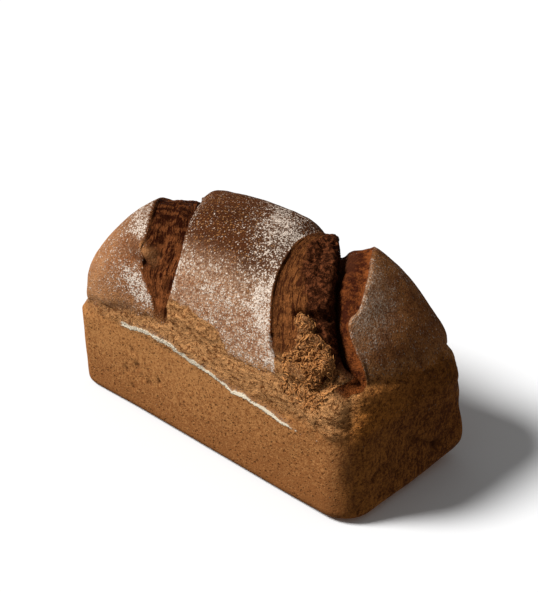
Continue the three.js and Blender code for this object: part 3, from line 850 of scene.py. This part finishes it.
def strip_mesh():
    """A strip of torn dough, 1 long and 1 wide, that tapers to its ends."""
    bm = bmesh.new()
    bmesh.ops.create_cube(bm, size=1)
    along = [edge for edge in bm.edges if abs(edge.verts[0].co.x - edge.verts[1].co.x) > 0.5]
    bmesh.ops.subdivide_edges(bm, edges=along, cuts=STRAND_CUTS)
    for vert in bm.verts:
        taper = 1 - STRAND_TAPER * (2 * vert.co.x)**2
        vert.co.y *= taper
        vert.co.z *= taper
    return as_mesh(bm, "strip")


def strands_mesh(loaf):
    """Torn strands that stand on the right cut's crumb, joined in one mesh."""
    rng = np.random.default_rng(STRAND_SEED)
    share = np.empty(len(loaf.vertices))
    loaf.attributes["strand_share"].data.foreach_get("value", share)
    feet = rng.choice(len(share), STRANDS, replace=False, p=share / share.sum())
    foot, out = read(loaf, "co")[feet] / MM, read(loaf, "normal")[feet]
    strip = strip_mesh()
    template = read(strip, "co")
    bm = bmesh.new()
    for _ in feet:
        bm.from_mesh(strip)
    mesh = as_mesh(bm, "torn_strands")

    def spread(limits):
        return rng.uniform(*limits, (STRANDS, 1))

    side = np.cross(out, rng.normal(size=(STRANDS, 3)))
    side /= np.linalg.norm(side, axis=1, keepdims=True)
    ahead = np.cross(side, out)
    x, y, z = (template[None, :, axis] for axis in range(3))
    long, wide, thick = spread(STRAND_LENGTH), spread(STRAND_WIDTH), spread(STRAND_THICKNESS)
    rise = z * thick + spread(STRAND_CURL) * long * (x + 0.5)**2 + STRAND_LIFT
    sway = y * wide + spread(STRAND_SWAY) * long * x**2
    points = (foot[:, None] + ahead[:, None] * (x * long)[..., None] + side[:, None] * sway[..., None]
              + out[:, None] * rise[..., None])
    move(mesh, fitted(points.reshape(-1, 3)) * MM)
    field(mesh, "tone", np.repeat(rng.uniform(0, 1, STRANDS), len(template)))
    return mesh


# Finishes


class Wire:
    """One output of a node: arithmetic on it adds Math nodes."""

    def __init__(self, finish, socket):
        self.finish = finish
        self.socket = socket

    def math(self, operation, *values, clamp=False):
        settings = {"operation": operation, "use_clamp": clamp}
        return self.finish.add("ShaderNodeMath", settings, dict(enumerate(values)))

    def __add__(self, other):
        return self.math("ADD", self, other)

    __radd__ = __add__

    def __sub__(self, other):
        return self.math("SUBTRACT", self, other)

    def __rsub__(self, other):
        return self.math("SUBTRACT", other, self)

    def __mul__(self, other):
        return self.math("MULTIPLY", self, other)

    __rmul__ = __mul__

    def clamped(self):
        return self.math("ADD", self, 0, clamp=True)

    def most(self, other):
        return self.math("MAXIMUM", self, other)

    def size(self):
        return self.math("ABSOLUTE", self)

    def grow(self, low, high):
        """Grows smoothly from 0 to 1 between two limits."""
        sockets = {"Value": self, "From Min": low, "From Max": high, "To Min": 0, "To Max": 1}
        settings = {"data_type": "FLOAT", "interpolation_type": "SMOOTHSTEP"}
        return self.finish.add("ShaderNodeMapRange", settings, sockets, output="Result")


class Finish:
    """A material, and the nodes that its expressions add."""

    def __init__(self, name):
        self.material = bpy.data.materials.new(name)
        self.material.use_nodes = True
        self.tree = self.material.node_tree
        self.tree.nodes.clear()
        self.place = self.add("ShaderNodeTexCoord", output="Object")

    def add(self, kind, settings=None, sockets=None, output=0):
        """Adds a node: its settings come first, then the values or links of its sockets."""
        node = self.tree.nodes.new(kind)
        for name, value in (settings or {}).items():
            setattr(node, name, value)
        for name, value in (sockets or {}).items():
            if isinstance(value, Wire):
                self.tree.links.new(value.socket, node.inputs[name])
            else:
                node.inputs[name].default_value = value
        return Wire(self, node.outputs[output])

    def field(self, name):
        return self.add("ShaderNodeAttribute", {"attribute_name": name}, output="Fac")

    def axis(self, name):
        """One coordinate, in metres."""
        return self.add("ShaderNodeSeparateXYZ", None, {"Vector": self.place}, output=name)

    def noise(self, size, detail=2.0, roughness=0.55, place=None, distortion=0.0):
        """Noise from 0 to 1 whose marks are about size millimetres wide."""
        sockets = {"Vector": place or self.place, "Scale": 1 / (size * MM), "Detail": detail,
                   "Roughness": roughness, "Distortion": distortion}
        return self.add("ShaderNodeTexNoise", None, sockets, output="Fac")

    def scaled(self, place, factors):
        """A place multiplied by one factor for each axis."""
        settings = {"operation": "MULTIPLY"}
        return self.add("ShaderNodeVectorMath", settings, {0: place, 1: factors}, output="Vector")

    def cells(self, size):
        """Distance to the nearest of scattered points, as a share of their spacing, and a tone for each."""
        sockets = {"Vector": self.place, "Scale": 1 / (size * MM)}
        near = self.add("ShaderNodeTexVoronoi", {"feature": "F1"}, sockets, output="Distance")
        return near, Wire(self, near.socket.node.outputs["Color"])

    def strings(self, size):
        """Thin raised strings, 1 on them and 0 between."""
        lines = self.noise(size, detail=3, roughness=0.6, distortion=0.6)
        return 1 - (lines - 0.5).size().grow(0.005, 0.05)

    def grain_strings(self, factors):
        """Thin strings that follow the cuts."""
        grain = self.add("ShaderNodeAttribute", {"attribute_name": "grain"}, output="Vector")
        sockets = {"Vector": self.scaled(grain, factors), "Scale": 1.0, "Detail": 4.0, "Roughness": 0.7,
                   "Distortion": 0.4}
        lines = self.add("ShaderNodeTexNoise", None, sockets, output="Fac")
        return (1 - (lines - 0.5).size().grow(0.0, 0.07)) * 0.6 + lines.grow(0.4, 0.66) * 0.5

    def blend(self, share, below, above):
        """One colour over another, by a share that is kept from 0 to 1."""
        sockets = {"Factor": share, 6: colour(below), 7: colour(above)}
        return self.add("ShaderNodeMix", {"data_type": "RGBA"}, sockets, output=2)

    def surface(self, base, roughness, height, specular=0.015):
        """Finishes the material: height is in millimetres."""
        sockets = {"Strength": 1.0, "Distance": MM, "Height": height}
        bump = self.add("ShaderNodeBump", None, sockets, output="Normal")
        sockets = {"Base Color": base, "Roughness": roughness, "Normal": bump, "Specular IOR Level": specular}
        skin = self.add("ShaderNodeBsdfPrincipled", None, sockets, output="BSDF")
        self.add_output(skin)
        return self.material

    def add_output(self, shader):
        node = self.tree.nodes.new("ShaderNodeOutputMaterial")
        self.tree.links.new(shader.socket, node.inputs["Surface"])


def colour(value):
    """Three numbers as a colour; a wire stays as it is."""
    return value if isinstance(value, Wire) else (*value, 1.0)


# Colours
WALL_BROWN = (0.48, 0.215, 0.072)
WALL_DARK = (0.27, 0.1, 0.03)
WALL_LIGHT = (0.63, 0.315, 0.12)
# Painted shade inside the pinholes
PINHOLE_SHADE = (0.12, 0.036, 0.011)
LOBE_TAN = (0.52, 0.235, 0.09)
SKIN_GAP = (0.19, 0.06, 0.018)
SKIN_BLACK = (0.05, 0.016, 0.006)
BAND_GOLD = (0.66, 0.32, 0.122)
# The band's amber on the end is painted shade
BAND_SHADE_AMBER = (0.62, 0.22, 0.04)
BAND_DARK = (0.16, 0.05, 0.012)
# Painted shade in the crack, hollows, pits and creases
SHADE_BLACK = (0.06, 0.018, 0.008)
FLOUR_PALE = (0.74, 0.61, 0.5)
FLOUR_DUST = (0.6, 0.38, 0.24)
LINE_CREAM = (0.95, 0.84, 0.64)

# The colours at the two ends of a finish's tone
# The right lobe's darker tones are painted shade
RIGHT_SHADE_TONES = ((0.32, 0.13, 0.04), (0.12, 0.04, 0.014))
# The end wall's tones are painted shade
END_SHADE_TONES = ((0.38, 0.14, 0.03), (0.09, 0.026, 0.009))
SIDE_TONES = ((0.5, 0.19, 0.055), (0.28, 0.075, 0.018))
TOP_TONES = ((0.12, 0.036, 0.011), (0.36, 0.16, 0.05))
CUT_TONES = ((0.03, 0.006, 0.002), (0.44, 0.14, 0.042))
SLOPE_TONES = ((0.055, 0.015, 0.005), (0.33, 0.115, 0.032))
CRUMB_TONES = ((0.04, 0.011, 0.004), (0.38, 0.115, 0.042))
# The ridge's crumb is light, and its tones are lighter still as painted light
RIDGE_TONES = ((0.26, 0.095, 0.032), (0.95, 0.46, 0.18))
EAR_TONES = ((0.045, 0.01, 0.004), (0.24, 0.066, 0.016))
STRAND_TONES = ((0.2, 0.07, 0.02), (0.66, 0.3, 0.1))

# Heights between which the finishes change, and reaches along the loaf, in metres; painted shade grows over
# the foot's and the wall's heights and along the right reach
FOOT_SHADE_HEIGHTS = (0, 0.014)
WALL_SHADE_HEIGHTS = (0, 0.05)
BAND_HEIGHTS = (0.058, 0.066)
TOP_HEIGHTS = (0.1, 0.136)
CUT_HEIGHT = 0.112
RIGHT_SHADE_REACH = (-0.02, 0.12)

# Heights of the marks in the crust, in millimetres
MARKS = {"grain": 0.35, "fine": 0.15, "pinholes": 0.5, "granules": 0.3, "fibres": 0.6, "crumb": 0.7,
         "shreds": 2.2, "strings": 0.5, "powder": 0.15, "flour_line": 0.5}

CRUST_ROUGHNESS = 0.7
STRAND_ROUGHNESS = 0.8


def crust_finish():
    f = Finish("baked_crust")
    cut, slope, torn, ridge = (f.field(name) for name in ("cut", "slope", "torn", "ridge"))
    ear, dark, end, dome = (f.field(name) for name in ("ear", "dark", "end", "dome"))
    back, flour, dusty = (f.field(name) for name in ("back", "flour", "dust"))
    left, right, skin_height = (f.field(name) for name in ("left_lobe", "right_lobe", "skin_gap"))
    line_height, line_reach = f.field("line_gap"), f.field("line_reach")
    x, z = f.axis("X"), f.axis("Z")
    mottle = f.noise(9, detail=3)
    patch = f.noise(24, detail=2)
    clot = f.noise(3.5, detail=4, roughness=0.7)
    grain = f.noise(1.5, detail=3, roughness=0.65)
    fine = f.noise(0.8, detail=2, roughness=0.6)
    speck = f.noise(1.15, detail=3, roughness=0.7)
    clots, grains, specks = clot - 0.5, grain - 0.5, speck - 0.5
    drops = f.noise(1.0, detail=2, roughness=0.6, place=f.scaled(f.place, (1, 1, 0.9)))
    dots = drops.grow(0.48, 0.62) * 0.8
    speckle = (grain * 0.6 + fine * 0.4).grow(0.42, 0.58)
    near, tone = f.cells(1.3)
    granule = (0.62 - near + (fine - 0.5) * 0.9).grow(0.0, 0.4)
    strings = f.strings(3.2)

    # Tin-baked walls: matt brown with many pinholes, darker in streaks at the end. Painted shade darkens the
    # pinholes, the walls towards the foot and the right end, and the whole end wall, most towards the back
    # Painted shade towards the right end, and towards the foot, where the crust also bakes darker
    wall_tone = clot.grow(0.3, 0.7) * 0.6 + speckle * 0.9 + patch * 0.3 + x.grow(*RIGHT_SHADE_REACH) * 0.42
    wall_tone = wall_tone + (1 - z.grow(*WALL_SHADE_HEIGHTS)) * 0.7 - 0.56
    wall = f.blend(wall_tone, WALL_BROWN, WALL_DARK)
    wall = f.blend(speck.grow(0.53, 0.7) * 0.5, wall, WALL_LIGHT)
    pin = (f.cells(4.6)[0] + grain * 0.35).grow(0.28, 0.42)
    small_pin = (f.cells(2.3)[0] + mottle * 0.4).grow(0.3, 0.46)
    holes = 1 - pin * small_pin
    # Painted shade in the pinholes
    wall = f.blend(holes * 0.5, wall, PINHOLE_SHADE)
    # Painted shade at the foot, where the crust also bakes darker
    wall = f.blend((1 - z.grow(*FOOT_SHADE_HEIGHTS)) * 0.45, wall, WALL_DARK)
    streak = f.noise(1.2, detail=3, roughness=0.6, place=f.scaled(f.place, (0.6, 0.6, 0.25)))
    # The end wall's darker tones are painted shade, darker still towards the back
    end_shade_tone = streak.grow(0.36, 0.66) * 0.5 + speckle * 0.6 + mottle.grow(0.3, 0.7) * 0.5 - 0.3
    end_shade_tone = end_shade_tone.clamped() + back * 0.3 - 0.08
    base = f.blend(end, wall, f.blend(end_shade_tone, *END_SHADE_TONES))

    # Torn golden band: amber on the end as painted shade, and less of it over the end wall, least towards the
    # back
    shred = f.noise(2.6, detail=5, roughness=0.7, place=f.scaled(f.place, (0.75, 0.75, 1.2)))
    low = dome * z.grow(*BAND_HEIGHTS)
    ragged = shred.grow(0.4, 0.62) * 0.9 + speckle * 0.5 + mottle * 0.6 + dots * 0.3 - strings * 0.4 - 0.64
    band = f.blend(ragged, f.blend(end, BAND_GOLD, BAND_SHADE_AMBER), BAND_DARK)
    base = f.blend(low * (1 - end * (back * 0.6 + 0.15)), base, band)

    # Skin: pebbled, dark on top, tan and reddish down the sides, plainer on the outer lobes; the right lobe's
    # darker tones are painted shade
    edge = (skin_height + clots * 16 + grains * 8).grow(-2.2, 3.2) * dome
    top = z.grow(*TOP_HEIGHTS) * 0.9 + patch * 0.7 - 0.35
    pebble = f.blend(mottle.grow(0.36, 0.62) * 0.9 + tone * 0.8 - 0.3, *SIDE_TONES)
    pebble = f.blend(top, pebble, f.blend(tone.grow(0.5, 0.75), *TOP_TONES))
    gap = f.blend(top, SKIN_GAP, SKIN_BLACK)
    shaded = f.blend(speckle * 0.6 + mottle.grow(0.35, 0.65) * 0.6 - 0.2, *RIGHT_SHADE_TONES)
    skin = f.blend(left * (0.75 - mottle.grow(0.4, 0.65) * 0.3), f.blend(granule, gap, pebble), LOBE_TAN)
    skin = f.blend(right * 0.75, skin, shaded)
    thin = 1 - (skin_height + clots * 12).grow(-1, 13)
    skin = f.blend(thin * 0.7, skin, band)

    # Flour on the skin: dust, dark dots that show through it, and grains
    dust = dusty * (clot.grow(0.35, 0.6) * 0.9 + 0.3) * (speck.grow(0.38, 0.6) * 0.9 + 0.4)
    skin = f.blend(dust, skin, FLOUR_DUST)
    skin = f.blend(dots * (0.85 - (right * 0.25 + dusty * 0.6 + left * 0.4)), skin, SKIN_BLACK)
    powder = (flour + specks * 3.8 + clots * 2.6 + (granule - 0.7) * 0.6 - 0.5).grow(-0.15, 0.4)
    # Less of the flour's pale shows on the right lobe, a painted shade
    skin = f.blend(powder * (1 - right * 0.55), skin, FLOUR_PALE)
    base = f.blend(edge, base, skin)

    # Torn insides of the cuts
    fibre = f.grain_strings((26, 9, 1))
    blotch = f.noise(7, detail=3, roughness=0.6).grow(0.36, 0.62)
    inner = fibre * 0.8 + (CUT_HEIGHT - z) * 12 + blotch * 0.5 - 0.38
    base = f.blend(cut, base, f.blend(inner, *CUT_TONES))
    sloping = fibre * 1.1 + blotch * 0.3 + clots - 0.28
    base = f.blend(slope, base, f.blend(sloping, *SLOPE_TONES))
    crumb = (f.noise(3.0, detail=4, roughness=0.7).grow(0.42, 0.66) * 0.7 + strings * 0.4 - 0.1).clamped()
    base = f.blend(torn, base, f.blend(crumb, *CRUMB_TONES))
    tufts = f.noise(2.2, detail=4, roughness=0.75).grow(0.4, 0.58)
    stood = (strings * 0.6 + tufts * 0.7 - 0.1).clamped()
    # The standing ridge's light tones are made lighter still, a painted light where it lies in shade
    base = f.blend(ridge, base, f.blend(stood - speckle * 0.25, *RIDGE_TONES))
    face = f.field("ear_light") + blotch * 0.4 + clots * 2 + specks * 1.8 - 0.08
    base = f.blend(ear, base, f.blend(face, *EAR_TONES))
    base = f.blend(f.field("flap") * (0.9 - blotch * 0.4 - speckle * 0.3), base, LOBE_TAN)
    # Painted shade in the crack, hollows, pits and creases
    base = f.blend(dark * 0.85, base, SHADE_BLACK)

    # Flour that the tin's rim left in a line
    above = line_height + (f.noise(4, detail=4, roughness=0.75) - 0.5) * 5
    thickness = f.noise(8, detail=2).grow(0.35, 0.65) * 1.6 + line_reach * 0.9 + 0.6
    broken = (line_reach + (f.noise(7, detail=3, roughness=0.7) - 0.5) * 2.2 - 0.15).grow(0, 0.35)
    rim_line = above.grow(-0.5, 0.3) * (1 - (above - thickness).grow(-0.4, 0.6)) * broken
    haze = above.grow(-0.4, 0.6) * (1 - above.grow(1, 7)) * line_reach * speckle * patch.grow(0.3, 0.7)
    base = f.blend(haze * 0.5, base, FLOUR_PALE)
    base = f.blend(rim_line * 0.9, base, LINE_CREAM)

    bare = 1 - edge
    height = grain * MARKS["grain"] + fine * MARKS["fine"]
    height = height - holes * bare * MARKS["pinholes"] + edge * granule * MARKS["granules"]
    height = height + cut.most(slope) * fibre * MARKS["fibres"]
    height = height + torn.most(ridge) * (crumb + strings + stood) * MARKS["crumb"]
    height = height + bare * low * (shred * MARKS["shreds"] + strings * MARKS["strings"])
    height = height + powder * edge * MARKS["powder"] + rim_line * MARKS["flour_line"]
    roughness = CRUST_ROUGHNESS + powder * edge * 0.2 + grain * 0.15
    return f.surface(base, roughness, height)


def strand_finish():
    f = Finish("torn_dough")
    tone, grain = f.field("tone"), f.noise(1.2, detail=3, roughness=0.7)
    base = f.blend(tone * 0.8 + (grain - 0.5) * 1.6 + 0.1, *STRAND_TONES)
    return f.surface(base, STRAND_ROUGHNESS, grain * 0.4)


# Pieces

loaf = add_piece(loaf_mesh(), crust_finish(), "loaf")
add_piece(strands_mesh(loaf.data), strand_finish())

# Setting: a pale floor, soft light and the camera

FLOOR_SIZE = 8.0
FLOOR_PALE = (0.86, 0.86, 0.86)
FLOOR_ROUGHNESS = 0.9
FLOOR_SPECULAR = 0.1
SUN_STRENGTH = 4.4
SUN_SPREAD = math.radians(18)
SUN_FROM = Vector((-0.44, -0.52, 0.73))
SKY = 0.19

IMAGE = (538, 592)
FOCAL = 1400
SENSOR = 36
CAMERA_AIM = Vector((5.3, 0, 90.5)) * MM
CAMERA_DISTANCE = 854 * MM
CAMERA_AZIMUTH = math.radians(44)
CAMERA_ELEVATION = math.radians(29.28)


def lay_floor():
    bm = bmesh.new()
    bmesh.ops.create_grid(bm, x_segments=1, y_segments=1, size=FLOOR_SIZE / 2)
    mesh = as_mesh(bm, "floor")
    f = Finish("floor_paper")
    sockets = {"Base Color": colour(FLOOR_PALE), "Roughness": FLOOR_ROUGHNESS,
               "Specular IOR Level": FLOOR_SPECULAR}
    f.add_output(f.add("ShaderNodeBsdfPrincipled", None, sockets, output="BSDF"))
    mesh.materials.append(f.material)
    floor = add_object("floor", mesh)
    floor.visible_diffuse = False


def light_scene():
    sun = bpy.data.lights.new("key", "SUN")
    sun.energy = SUN_STRENGTH
    sun.angle = SUN_SPREAD
    add_object("key", sun).rotation_euler = SUN_FROM.to_track_quat("Z", "Y").to_euler()
    world = bpy.data.worlds.new("sky")
    world.use_nodes = True
    world.node_tree.nodes["Background"].inputs["Color"].default_value = (SKY, SKY, SKY, 1)
    bpy.context.scene.world = world


def place_camera():
    lens = bpy.data.cameras.new("camera")
    lens.sensor_width = SENSOR
    lens.lens = FOCAL / max(IMAGE) * SENSOR
    camera = add_object("camera", lens)
    level = math.cos(CAMERA_ELEVATION)
    back = Vector((math.sin(CAMERA_AZIMUTH) * level, -math.cos(CAMERA_AZIMUTH) * level,
                   math.sin(CAMERA_ELEVATION)))
    camera.location = CAMERA_AIM + back * CAMERA_DISTANCE
    camera.rotation_euler = back.to_track_quat("Z", "Y").to_euler()
    bpy.context.scene.camera = camera


lay_floor()
light_scene()
place_camera()
bpy.context.scene.view_settings.view_transform = "Standard"
